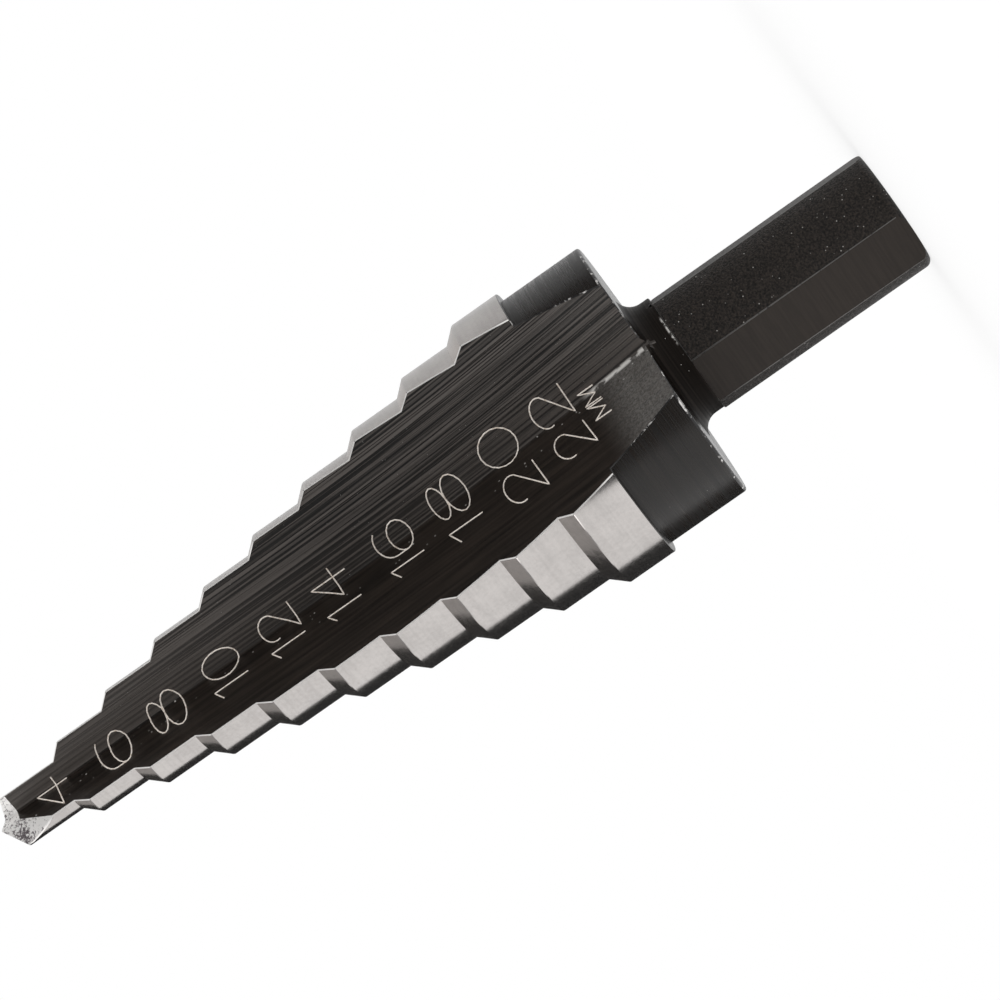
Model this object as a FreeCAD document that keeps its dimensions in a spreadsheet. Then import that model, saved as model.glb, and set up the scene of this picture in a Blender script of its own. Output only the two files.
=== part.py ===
import FreeCAD, Part
import math
import os

import Sketcher

# Step drill, 4 to 22 mm, turned and ground from one bar of tool steel.
# Frame: millimetres, +Z up along the drill's axis. The drill stands on its shank:
# the origin is the centre of the shank's end face and the point is at the top.
# The cutting face of the flute lies in the plane X = 0, on the side of -Y, and faces +X.

NODE = "step_drill"

# Driving sizes: name, value in millimetres or degrees, what it is.
SIZES = [
    ("shank_length", 19.7, "shank's end to the back of the collar"),
    ("shank_diameter", 9.525, "round of the shank, three eighths of an inch"),
    ("shank_end_round", 0.55, "radius at the shank's end"),
    ("flat_depth", 0.4925, "how far each flat is milled into the shank's round"),
    ("flat_count", 3, "number of flats round the shank"),
    ("neck_relief", 0.1125, "how far the turned neck lies below the shank's round"),
    ("neck_length", 2.0, "axial length of the neck"),
    ("neck_fillet", 1.3, "fillet between the collar's back and the neck"),
    ("collar_relief", 0.65, "how far the plain collar lies below the widest land"),
    ("collar_length", 6.55, "axial length of the collar"),
    ("collar_edge", 0.12, "broken edge at the back of the collar"),
    ("last_land_length", 3.85, "axial length of the widest land"),
    ("land_length", 3.88, "axial length of each land between two slopes"),
    ("slope_length", 1.12, "axial length of the slope that leads onto each land"),
    ("first_step_length", 5.88, "end of the first land to the point"),
    ("first_diameter", 4.0, "diameter of the first step"),
    ("diameter_rise", 2.0, "growth in diameter from step to step"),
    ("step_count", 10, "number of steps"),
    ("point_angle", 118.0, "included angle of the point"),
    ("flute_angle", 97.0, "angle between the cutting face and the flute's back wall"),
    ("flute_overcut", 1.01, "how far the flute's corner lies past the axis"),
    ("flute_corner", 0.3, "radius in the flute's corner"),
    ("flute_straight", 27.0, "length of flute, from the point, that runs parallel to the axis"),
    ("flute_runout", 86.0, "radius on which the flute rises out of the body"),
    ("gash_direction", -37.0, "direction, from +X, that the floor of the point's gash faces"),
    ("gash_length", 1.6, "point to the end of the gash's floor, which lies on the axis"),
    ("gash_ramp", 26.0, "angle to the axis at which the gash then runs out to the cutting edge"),
    ("tool_clearance", 2.0, "how far each cutting outline stands clear of the blank"),
]

# Heights above the shank's end, and radii, in terms of the driving sizes.
WIDEST_LAND_BACK = "(sizes.shank_length + sizes.collar_length)"
STEP_PITCH = "(sizes.land_length + sizes.slope_length)"
POINT_HEIGHT = (
    f"({WIDEST_LAND_BACK} + sizes.last_land_length + (sizes.step_count - 2) * {STEP_PITCH}"
    " + sizes.slope_length + sizes.first_step_length)"
)
WIDEST_RADIUS = "(sizes.first_diameter + (sizes.step_count - 1) * sizes.diameter_rise) / 2"
COLLAR_RADIUS = f"({WIDEST_RADIUS} - sizes.collar_relief)"
SHANK_RADIUS = "sizes.shank_diameter / 2"
NECK_RADIUS = f"({SHANK_RADIUS} - sizes.neck_relief)"
FLAT_DISTANCE = f"({SHANK_RADIUS} - sizes.flat_depth)"


def make_sheet(doc):
    """Writes the driving sizes to a spreadsheet, one alias for each."""
    sheet = doc.addObject("Spreadsheet::Sheet", "sizes")
    for row, (name, value, note) in enumerate(SIZES, start=1):
        sheet.set(f"A{row}", note)
        sheet.set(f"B{row}", str(value))
        sheet.setAlias(f"B{row}", name)
    doc.recompute()
    return sheet


def number(item, expression):
    """The value of an expression, as a plain number."""
    value = item.evalExpression(expression)
    return getattr(value, "Value", value)


def origin_feature(body, role):
    """One of the body's own origin planes or axes."""
    return next(item for item in body.Origin.OriginFeatures if item.Role == role)


def new_sketch(body, name, plane):
    """An empty sketch on one of the body's origin planes."""
    sketch = body.newObject("Sketcher::SketchObject", name)
    sketch.AttachmentSupport = [(origin_feature(body, plane), "")]
    sketch.MapMode = "FlatFace"
    return sketch


def constrain(sketch, kind, *geometry, to=None):
    """Adds a constraint; one with a size takes its size from the expression in to."""
    if to is None:
        sketch.addConstraint(Sketcher.Constraint(kind, *geometry))
        return
    value = number(sketch, to)
    if kind == "Angle":
        value = math.radians(value)
        to = f"({to}) * 1 deg"
    index = sketch.addConstraint(Sketcher.Constraint(kind, *geometry, value))
    sketch.setExpression(f"Constraints[{index}]", to)


def blank_outline(step_count):
    """The half section of the turned blank: (radius, height) from the shank's end to the point."""
    outline = [
        ("0", "0"),
        (SHANK_RADIUS, "0"),
        (SHANK_RADIUS, "sizes.shank_length - sizes.neck_length"),
        (NECK_RADIUS, "sizes.shank_length - sizes.neck_length"),
        (NECK_RADIUS, "sizes.shank_length"),
        (COLLAR_RADIUS, "sizes.shank_length"),
        (COLLAR_RADIUS, WIDEST_LAND_BACK),
    ]
    land_back = WIDEST_LAND_BACK
    for step in range(step_count - 1, 0, -1):
        radius = f"(sizes.first_diameter + {step} * sizes.diameter_rise) / 2"
        land = "sizes.last_land_length" if step == step_count - 1 else "sizes.land_length"
        land_front = f"{land_back} + {land}"
        outline += [(radius, land_back), (radius, land_front)]
        land_back = f"{land_front} + sizes.slope_length"
    tip_radius = "sizes.first_diameter / 2"
    cone_height = f"{tip_radius} / tan(sizes.point_angle / 2 * 1 deg)"
    outline += [
        (tip_radius, land_back),
        (tip_radius, f"{POINT_HEIGHT} - {cone_height}"),
        ("0", POINT_HEIGHT),
    ]
    return outline


def closed_outline(sketch, outline):
    """Draws straight sides through the (radius, height) corners and ties each to its place."""
    corners = [
        FreeCAD.Vector(number(sketch, radius), number(sketch, height), 0)
        for radius, height in outline
    ]
    count = len(corners)
    for side in range(count):
        sketch.addGeometry(Part.LineSegment(corners[side], corners[(side + 1) % count]), False)
    for side in range(count):
        constrain(sketch, "Coincident", side, 2, (side + 1) % count, 1)
    for side, (radius, height) in enumerate(outline):
        if radius == "0":
            constrain(sketch, "PointOnObject", side, 1, -2)
        else:
            constrain(sketch, "DistanceX", -1, 1, side, 1, to=radius)
        if height == "0":
            constrain(sketch, "PointOnObject", side, 1, -1)
        else:
            constrain(sketch, "DistanceY", -1, 1, side, 1, to=height)


def revolve_blank(body, step_count):
    """Turns the blank: shank, neck, collar, the steps and the cone of the point."""
    sketch = new_sketch(body, "blank_section", "XZ_Plane")
    closed_outline(sketch, blank_outline(step_count))
    blank = body.newObject("PartDesign::Revolution", "blank")
    blank.Profile = sketch
    blank.ReferenceAxis = (sketch, ["V_Axis"])
    blank.Angle = 360
    return blank


def circle_edge(shape, radius, height):
    """The name of the round edge with this radius at this height."""
    for index, edge in enumerate(shape.Edges, start=1):
        curve = edge.Curve
        if not isinstance(curve, Part.Circle):
            continue
        if math.isclose(curve.Radius, radius, abs_tol=1e-4) and math.isclose(
            curve.Center.z, height, abs_tol=1e-4
        ):
            return f"Edge{index}"
    raise ValueError(f"no round edge of radius {radius} at height {height}")


def dress_edge(body, kind, name, radius, height, size_property, size):
    """Fillets or chamfers one round edge of the body as it now stands."""
    base = body.Tip
    edge = circle_edge(base.Shape, number(base, radius), number(base, height))
    dress = body.newObject(f"PartDesign::{kind}", name)
    dress.Base = (base, [edge])
    dress.setExpression(size_property, size)
    body.Tip = dress
    body.Document.recompute()
    return dress


def cut_shank_flats(body):
    """Mills one flat along the shank and repeats it round the axis."""
    sketch = new_sketch(body, "flat_outline", "XY_Plane")
    near = -number(sketch, FLAT_DISTANCE)
    far = -number(sketch, f"{SHANK_RADIUS} + sizes.tool_clearance")
    half = -far
    corners = [
        FreeCAD.Vector(-half, near, 0),
        FreeCAD.Vector(-half, far, 0),
        FreeCAD.Vector(half, far, 0),
        FreeCAD.Vector(half, near, 0),
    ]
    for side in range(4):
        sketch.addGeometry(Part.LineSegment(corners[side], corners[(side + 1) % 4]), False)
    for side in range(4):
        constrain(sketch, "Coincident", side, 2, (side + 1) % 4, 1)
    for side in (0, 2):
        constrain(sketch, "Vertical", side)
    constrain(sketch, "Horizontal", 1)
    constrain(sketch, "Symmetric", 3, 1, 3, 2, -2)
    constrain(sketch, "DistanceX", 3, 2, 3, 1, to="sizes.shank_diameter + 2 * sizes.tool_clearance")
    constrain(sketch, "DistanceY", 3, 1, -1, 1, to=FLAT_DISTANCE)
    constrain(sketch, "DistanceY", 1, 1, -1, 1, to=f"{SHANK_RADIUS} + sizes.tool_clearance")

    flat = body.newObject("PartDesign::Pocket", "shank_flat")
    flat.Profile = sketch
    flat.Type = "Length"
    flat.Reversed = True
    flat.setExpression("Length", "sizes.shank_length - sizes.neck_length")
    body.Document.recompute()

    flats = body.newObject("PartDesign::PolarPattern", "shank_flats")
    flats.Originals = [flat]
    flats.Axis = (sketch, ["N_Axis"])
    flats.Angle = 360
    flats.setExpression("Occurrences", "sizes.flat_count")
    body.Tip = flats
    body.Document.recompute()
    return flats


def flute_section(body):
    """The V that the grinding wheel sweeps: the cutting face, the back wall and their corner."""
    sketch = new_sketch(body, "flute_section", "XY_Plane")
    sketch.setExpression("AttachmentOffset.Base.z", f"{POINT_HEIGHT} + sizes.tool_clearance")
    reach = (
        f"({WIDEST_RADIUS} + sizes.tool_clearance + sizes.flute_overcut)"
        " / cos(sizes.flute_angle / 2 * 1 deg)"
    )
    angle = math.radians(number(sketch, "sizes.flute_angle"))
    radius = number(sketch, "sizes.flute_corner")
    length = number(sketch, reach)
    corner = FreeCAD.Vector(0, number(sketch, "sizes.flute_overcut"), 0)
    down = FreeCAD.Vector(0, -1, 0)
    back = FreeCAD.Vector(math.sin(angle), -math.cos(angle), 0)
    setback = radius / math.tan(angle / 2)
    face_start = corner + down * setback
    back_start = corner + back * setback
    centre = face_start + FreeCAD.Vector(radius, 0, 0)
    face_end = corner + down * length
    back_end = corner + back * length
    middle = centre + (corner - centre).normalize() * radius

    face, wall, closing, round_, vertex = range(5)
    sketch.addGeometry(Part.LineSegment(face_start, face_end), False)
    sketch.addGeometry(Part.LineSegment(back_end, back_start), False)
    sketch.addGeometry(Part.LineSegment(face_end, back_end), False)
    sketch.addGeometry(Part.Arc(back_start, middle, face_start), False)
    sketch.addGeometry(Part.Point(corner), True)
    constrain(sketch, "PointOnObject", vertex, 1, -2)
    constrain(sketch, "DistanceY", -1, 1, vertex, 1, to="sizes.flute_overcut")
    constrain(sketch, "PointOnObject", face, 1, -2)
    constrain(sketch, "PointOnObject", face, 2, -2)
    constrain(sketch, "PointOnObject", vertex, 1, wall)
    constrain(sketch, "Coincident", face, 2, closing, 1)
    constrain(sketch, "Coincident", closing, 2, wall, 1)
    constrain(sketch, "Distance", vertex, 1, face, 2, to=reach)
    constrain(sketch, "Distance", vertex, 1, wall, 1, to=reach)
    constrain(sketch, "Angle", face, 1, wall, 2, to="sizes.flute_angle")
    arc_at_wall, arc_at_face = 1, 2
    arc = sketch.Geometry[round_]
    if (arc.StartPoint - face_start).Length < (arc.EndPoint - face_start).Length:
        arc_at_wall, arc_at_face = 2, 1
    constrain(sketch, "Tangent", wall, 2, round_, arc_at_wall)
    constrain(sketch, "Tangent", round_, arc_at_face, face, 1)
    constrain(sketch, "Radius", round_, to="sizes.flute_corner")
    return sketch


def flute_path(body):
    """The wheel's path: along the axis from the point, then out of the body on a large arc."""
    sketch = new_sketch(body, "flute_path", "XZ_Plane")
    sketch.AttachmentOffset = FreeCAD.Placement(
        FreeCAD.Vector(0, 0, 0), FreeCAD.Rotation(FreeCAD.Vector(0, 1, 0), 1)
    )
    sketch.setExpression("AttachmentOffset.Rotation.Angle", "(sizes.flute_angle / 2 - 90) * 1 deg")
    start = f"{POINT_HEIGHT} + sizes.tool_clearance"
    bend = f"{POINT_HEIGHT} - sizes.flute_straight"
    end = "sizes.shank_length - sizes.neck_fillet - sizes.tool_clearance"
    bend_height = number(sketch, bend)
    end_height = number(sketch, end)
    radius = number(sketch, "sizes.flute_runout")
    sweep = math.asin((bend_height - end_height) / radius)
    line_start = FreeCAD.Vector(0, number(sketch, start), 0)
    line_end = FreeCAD.Vector(0, bend_height, 0)
    middle = FreeCAD.Vector(
        radius * (1 - math.cos(sweep / 2)), bend_height - radius * math.sin(sweep / 2), 0
    )
    arc_end = FreeCAD.Vector(radius * (1 - math.cos(sweep)), end_height, 0)
    straight, rise = range(2)
    sketch.addGeometry(Part.LineSegment(line_start, line_end), False)
    sketch.addGeometry(Part.Arc(line_end, middle, arc_end), False)
    arc = sketch.Geometry[rise]
    near, far = (1, 2) if (arc.StartPoint - line_end).Length < 1e-6 else (2, 1)
    constrain(sketch, "PointOnObject", straight, 1, -2)
    constrain(sketch, "PointOnObject", straight, 2, -2)
    constrain(sketch, "DistanceY", -1, 1, straight, 1, to=start)
    constrain(sketch, "DistanceY", -1, 1, straight, 2, to=bend)
    constrain(sketch, "Tangent", straight, 2, rise, near)
    constrain(sketch, "Radius", rise, to="sizes.flute_runout")
    constrain(sketch, "DistanceY", -1, 1, rise, far, to=end)
    return sketch


def grind_flute(body):
    """Grinds the single flute through the steps and out at the back of the collar."""
    section = flute_section(body)
    path = flute_path(body)
    body.Document.recompute()
    flute = body.newObject("PartDesign::SubtractivePipe", "flute")
    flute.Profile = section
    flute.Spine = (path, ["Edge1", "Edge2"])
    flute.Mode = "Standard"
    body.Tip = flute
    body.Document.recompute()
    return flute


def grind_gash(body):
    """Grinds the gash behind the cutting face: a floor on the axis, then a ramp to the edge."""
    sketch = new_sketch(body, "gash_outline", "XZ_Plane")
    sketch.AttachmentOffset = FreeCAD.Placement(
        FreeCAD.Vector(0, 0, 0), FreeCAD.Rotation(FreeCAD.Vector(0, 1, 0), 1)
    )
    sketch.setExpression("AttachmentOffset.Rotation.Angle", "sizes.gash_direction * 1 deg")
    reach = "(sizes.first_diameter / 2 + sizes.tool_clearance)"
    top = f"{POINT_HEIGHT} + sizes.tool_clearance"
    floor_end = f"{POINT_HEIGHT} - sizes.gash_length"
    ramp_end = f"{floor_end} - {reach} / tan(sizes.gash_ramp * 1 deg)"
    closed_outline(sketch, [("0", top), ("0", floor_end), (reach, ramp_end), (reach, top)])
    gash = body.newObject("PartDesign::Pocket", "gash")
    gash.Profile = sketch
    gash.Type = "Length"
    gash.Reversed = True
    gash.setExpression("Length", reach)
    body.Tip = gash
    body.Document.recompute()
    return gash


def check(doc, body):
    """Stops unless every object computed and the body is one sound solid."""
    for item in doc.Objects:
        faults = {"Invalid", "Error"} & set(item.State)
        if faults:
            raise RuntimeError(f"{item.Name} did not compute: {sorted(faults)}")
    shape = body.Shape
    if shape.isNull() or not shape.isValid() or len(shape.Solids) != 1:
        raise RuntimeError(f"{body.Label} is not one valid solid")


def main():
    doc = FreeCAD.newDocument("step_drill")
    sheet = make_sheet(doc)
    body = doc.addObject("PartDesign::Body", NODE)
    body.Label = NODE
    body.Placement = FreeCAD.Placement()

    revolve_blank(body, int(sheet.get("step_count")))
    doc.recompute()
    dress_edge(
        body, "Fillet", "neck_fillet", NECK_RADIUS, "sizes.shank_length",
        "Radius", "sizes.neck_fillet",
    )
    dress_edge(
        body, "Chamfer", "collar_edge", COLLAR_RADIUS, "sizes.shank_length",
        "Size", "sizes.collar_edge",
    )
    dress_edge(
        body, "Fillet", "shank_end_round", SHANK_RADIUS, "0",
        "Radius", "sizes.shank_end_round",
    )
    volumes = [body.Shape.Volume]
    for cut in (cut_shank_flats, grind_flute, grind_gash):
        cut(body)
        volumes.append(body.Shape.Volume)
    print("volume after turning and after each cut, mm3:", [round(v, 1) for v in volumes])
    if any(after >= before for before, after in zip(volumes, volumes[1:])):
        raise RuntimeError("a cut removed nothing")

    check(doc, body)
    os.makedirs("parts", exist_ok=True)
    body.Shape.exportStep(f"parts/{body.Label}.step")


main()
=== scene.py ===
"""Looks of a stepped conical drill: its finishes, worn edges and step numbers, in a white studio.

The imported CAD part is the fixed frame. Lengths are in metres, +Z runs up the drill's axis from the
shank's end to the point, and directions round the axis are degrees from +X towards +Y.
"""

import logging
import math
from dataclasses import dataclass
from enum import Enum, IntEnum

import bmesh
import bpy
from mathutils import Matrix, Vector


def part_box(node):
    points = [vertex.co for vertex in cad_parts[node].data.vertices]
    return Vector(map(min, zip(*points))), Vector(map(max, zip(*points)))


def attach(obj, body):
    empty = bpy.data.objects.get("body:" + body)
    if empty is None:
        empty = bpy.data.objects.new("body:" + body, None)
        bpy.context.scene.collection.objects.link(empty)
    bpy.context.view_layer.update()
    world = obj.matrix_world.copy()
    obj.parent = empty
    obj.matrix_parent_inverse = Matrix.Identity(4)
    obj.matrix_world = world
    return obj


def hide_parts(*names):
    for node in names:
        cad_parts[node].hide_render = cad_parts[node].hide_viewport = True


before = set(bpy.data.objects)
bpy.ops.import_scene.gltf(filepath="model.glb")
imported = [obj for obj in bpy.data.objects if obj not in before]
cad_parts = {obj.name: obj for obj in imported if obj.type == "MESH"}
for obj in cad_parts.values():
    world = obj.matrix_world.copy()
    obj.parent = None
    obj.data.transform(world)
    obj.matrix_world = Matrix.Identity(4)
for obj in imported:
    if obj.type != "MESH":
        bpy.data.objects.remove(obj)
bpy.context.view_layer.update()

MM = 0.001
NODE = "step_drill"
BODY = "root"
LOG = logging.getLogger("step_drill")

Shade = tuple[float, float, float]
Colour = tuple[float, float, float, float]
Stroke = list[tuple[float, float]]


def polar(angle: float, radius: float = 1.0) -> Vector:
    """Returns the point at an angle in degrees and a radius, in the plane Z = 0."""
    return Vector((math.cos(math.radians(angle)), math.sin(math.radians(angle)), 0)) * radius


def scaled(shade: Shade, factor: float) -> Colour:
    """Returns a shade times a factor, as an opaque colour."""
    return tuple(part * factor for part in shade) + (1,)


def grey(level: float) -> Colour:
    """Returns an opaque grey."""
    return (level, level, level, 1)


@dataclass(frozen=True)
class DrillSizes:
    """Sizes of the drill that the finishes follow, in metres and degrees."""

    height: float
    first_diameter: float = 4 * MM
    shank_length: float = 19.7 * MM
    neck_length: float = 2.0 * MM
    collar_length: float = 6.55 * MM
    flat_distance: float = 4.27 * MM
    flat_count: int = 3
    flute_angle: float = 97.0
    flute_overcut: float = 1.01 * MM
    flute_corner: float = 0.3 * MM
    flute_straight: float = 27.0 * MM
    flute_runout: float = 86.0 * MM
    gash_direction: float = -37.0
    gash_reach: float = 4.2 * MM
    bright_tip: float = 1.6 * MM

    @property
    def land_back(self) -> float:
        """Height of the widest land's back edge."""
        return self.shank_length + self.collar_length

    @property
    def neck_start(self) -> float:
        """Height at which the shank's flats end and the neck starts."""
        return self.shank_length - self.neck_length

    @property
    def bend_height(self) -> float:
        """Height at which the flute starts to rise out of the body."""
        return self.height - self.flute_straight

    @property
    def bisector(self) -> float:
        """Direction of the flute's bisector, in degrees."""
        return self.flute_angle / 2 - 90

    @property
    def heel_angle(self) -> float:
        """Direction in which the heel wall leaves the flute's corner, in degrees."""
        return self.flute_angle - 90

    @property
    def corner(self) -> Vector:
        """The flute's corner in the section through the steps."""
        return Vector((0, self.flute_overcut, 0))

    def to_section(self, point: Vector) -> Vector:
        """Carries a point back along the flute's path into the section through the steps.

        Args:
            point: a point of the drill.

        Returns:
            The point's place in the plane of the flute's section, where the walls are straight.
        """
        out, across = polar(self.bisector), polar(self.bisector + 90)
        drop = max(self.bend_height - point.z, 0)
        rise = self.flute_runout - math.hypot(self.flute_runout - point.dot(out), drop)
        return out * rise + across * point.dot(across)

    def wall_heights(self, point: Vector) -> tuple[float, float]:
        """Measures how far a point lies inside the metal behind each wall of the flute.

        Args:
            point: a point of the drill.

        Returns:
            The depth behind the heel wall and the depth behind the cutting face.
        """
        flat = self.to_section(point) - self.corner
        return flat.dot(polar(self.heel_angle + 90)), -flat.x


class Value:
    """A socket of a shader graph that takes part in arithmetic."""

    def __init__(self, graph: "Graph", socket: bpy.types.NodeSocket) -> None:
        """Wraps a socket of the graph's node tree."""
        self.graph = graph
        self.socket = socket

    def maths(self, operation: str, *operands: "Value | float") -> "Value":
        """Adds one Math node.

        Args:
            operation: the Math node's operation.
            operands: its inputs, sockets or numbers.

        Returns:
            The node's result.
        """
        inputs = dict(enumerate(operands))
        return self.graph.node("ShaderNodeMath", {"operation": operation}, inputs)

    def __add__(self, other: "Value | float") -> "Value":
        """Sum."""
        return self.maths("ADD", self, other)

    __radd__ = __add__

    def __sub__(self, other: "Value | float") -> "Value":
        """Difference."""
        return self.maths("SUBTRACT", self, other)

    def __rsub__(self, other: float) -> "Value":
        """Difference from a number."""
        return self.maths("SUBTRACT", other, self)

    def __mul__(self, other: "Value | float") -> "Value":
        """Product."""
        return self.maths("MULTIPLY", self, other)

    __rmul__ = __mul__

    def __truediv__(self, other: "Value | float") -> "Value":
        """Quotient."""
        return self.maths("DIVIDE", self, other)

    def __rtruediv__(self, other: float) -> "Value":
        """Quotient of a number."""
        return self.maths("DIVIDE", other, self)

    def __neg__(self) -> "Value":
        """Opposite."""
        return self * -1

    def greatest(self, other: "Value | float") -> "Value":
        """Returns the greater of two values."""
        return self.maths("MAXIMUM", self, other)

    def root(self) -> "Value":
        """Returns the square root."""
        return self.maths("SQRT", self)

    def between(self, low: float, high: float) -> "Value":
        """Adds a smooth step.

        Args:
            low: where the step is 0.
            high: where the step is 1, which may lie below low.

        Returns:
            The step.
        """
        inputs = {0: self, 1: min(low, high), 2: max(low, high)}
        settings = {"interpolation_type": "SMOOTHSTEP"}
        step = self.graph.node("ShaderNodeMapRange", settings, inputs)
        return 1 - step if high < low else step

    def other(self, output: int | str) -> "Value":
        """Returns another output of the same node."""
        return Value(self.graph, self.socket.node.outputs[output])


class Graph:
    """A node tree that is written as expressions."""

    def __init__(self, tree: bpy.types.NodeTree) -> None:
        """Empties the tree."""
        self.tree = tree
        self.tree.nodes.clear()

    def node(self, kind: str, settings: dict, inputs: dict, output: int | str = 0) -> Value:
        """Adds a node of any type.

        Args:
            kind: the node's type.
            settings: its properties, set first.
            inputs: values or links for its sockets, by index or name.
            output: which output to return.

        Returns:
            The output asked for; the tree's end node has none, and gives an empty value.
        """
        made = self.tree.nodes.new(kind)
        for name, setting in settings.items():
            setattr(made, name, setting)
        for key, given in inputs.items():
            if isinstance(given, Value):
                self.tree.links.new(given.socket, made.inputs[key])
            else:
                made.inputs[key].default_value = given
        return Value(self, made.outputs[output] if made.outputs else None)

    def vector(self, x: Value | float, y: Value | float, z: Value | float) -> Value:
        """Returns a vector of three values."""
        return self.node("ShaderNodeCombineXYZ", {}, {0: x, 1: y, 2: z})

    def noise(
        self, vector: Value, scale: float = 1.0, detail: float = 2.0, roughness: float = 0.5
    ) -> Value:
        """Adds a noise pattern.

        Args:
            vector: where the pattern is read.
            scale: waves per metre.
            detail: octaves.
            roughness: weight of the finer octaves.

        Returns:
            The pattern, about 0.5.
        """
        inputs = {"Vector": vector, "Scale": scale, "Detail": detail, "Roughness": roughness}
        return self.node("ShaderNodeTexNoise", {}, inputs)

    def mix(self, factor: Value | float, low: Colour | Value, high: Colour | Value) -> Value:
        """Mixes two colours."""
        inputs = {0: factor, 6: low, 7: high}
        return self.node("ShaderNodeMix", {"data_type": "RGBA"}, inputs, output=2)

    def sight(self) -> Value:
        """Tells apart the rays that see things straight, mirrored or through glass.

        Returns:
            1 for such a ray, and else 0.
        """
        camera = self.node("ShaderNodeLightPath", {}, {}, output="Is Camera Ray")
        mirrored = camera.greatest(camera.other("Is Glossy Ray"))
        return mirrored.greatest(camera.other("Is Transmission Ray"))


class SurfaceGraph(Graph):
    """A material's node tree, with the drill's own coordinates at hand."""

    # Noise at which a cell begins to hold a dot and surely does, which leaves about a third of them
    HOLDS_DOT = (0.56, 0.62)

    def __init__(self, name: str, sizes: DrillSizes) -> None:
        """Starts an empty material.

        Args:
            name: the material's name.
            sizes: the drill's sizes.
        """
        self.material = bpy.data.materials.new(name)
        self.material.use_nodes = True
        super().__init__(self.material.node_tree)
        self.sizes = sizes
        self.place = self.node("ShaderNodeTexCoord", {}, {}, output="Object")
        self.x = self.node("ShaderNodeSeparateXYZ", {}, {0: self.place}, output="X")
        self.y = self.x.other("Y")
        self.z = self.x.other("Z")

    def specks(self, scale: float, share: float) -> Value:
        """Adds scattered dots.

        Args:
            scale: cells per metre.
            share: radius of a dot as a share of its cell.

        Returns:
            A mask that is 1 on the dots.
        """
        inputs = {"Vector": self.place, "Scale": scale}
        near = self.node("ShaderNodeTexVoronoi", {}, inputs, output="Distance")
        chosen = self.noise(self.place, scale / 2, 0.0).between(*self.HOLDS_DOT)
        return near.between(share, share / 2) * chosen

    def turned_lines(self, round_axis: float, along: float, detail: float = 2.0) -> Value:
        """Returns noise drawn out round the axis, given in waves per metre round and along it."""
        place = self.vector(self.x * round_axis, self.y * round_axis, self.z * along)
        return self.noise(place, 1.0, detail)

    def wall_lines(
        self, distance: Value, across: float, along: float, seed: float, detail: float = 3.0
    ) -> Value:
        """Returns noise drawn out along a wall of the flute, given in waves per metre each way."""
        return self.noise(self.vector(distance * across, self.z * along, seed), 1.0, detail)

    def along_flute(self) -> tuple[Value, Value]:
        """Measures along the flute's walls, which are straight in the section through the steps.

        Returns:
            Distances from the flute's corner along the heel wall and along the cutting face.
        """
        sizes = self.sizes
        out, across = polar(sizes.bisector), polar(sizes.bisector + 90)
        reach = self.x * out.x + self.y * out.y
        side = self.x * across.x + self.y * across.y
        drop = (sizes.bend_height - self.z).greatest(0)
        centre = sizes.flute_runout - reach
        rise = sizes.flute_runout - (centre * centre + drop * drop).root()
        x = rise * out.x + side * across.x
        y = rise * out.y + side * across.y - sizes.flute_overcut
        heel = polar(sizes.heel_angle)
        return x * heel.x + y * heel.y, -y

    def shader(self, inputs: dict, bump: Value, depth: float) -> Value:
        """Adds a Principled shader.

        Args:
            inputs: values of the shader's sockets, by name.
            bump: the height of the surface's texture.
            depth: what a height of 1 stands for, in metres.

        Returns:
            The shader.
        """
        relief = {"Strength": 1.0, "Distance": depth, "Height": bump}
        normal = self.node("ShaderNodeBump", {}, relief)
        return self.node("ShaderNodeBsdfPrincipled", {}, {**inputs, "Normal": normal})

    def finished(self, shader: Value) -> bpy.types.Material:
        """Ends the graph with a shader and returns the material."""
        self.node("ShaderNodeOutputMaterial", {}, {"Surface": shader})
        return self.material


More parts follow.
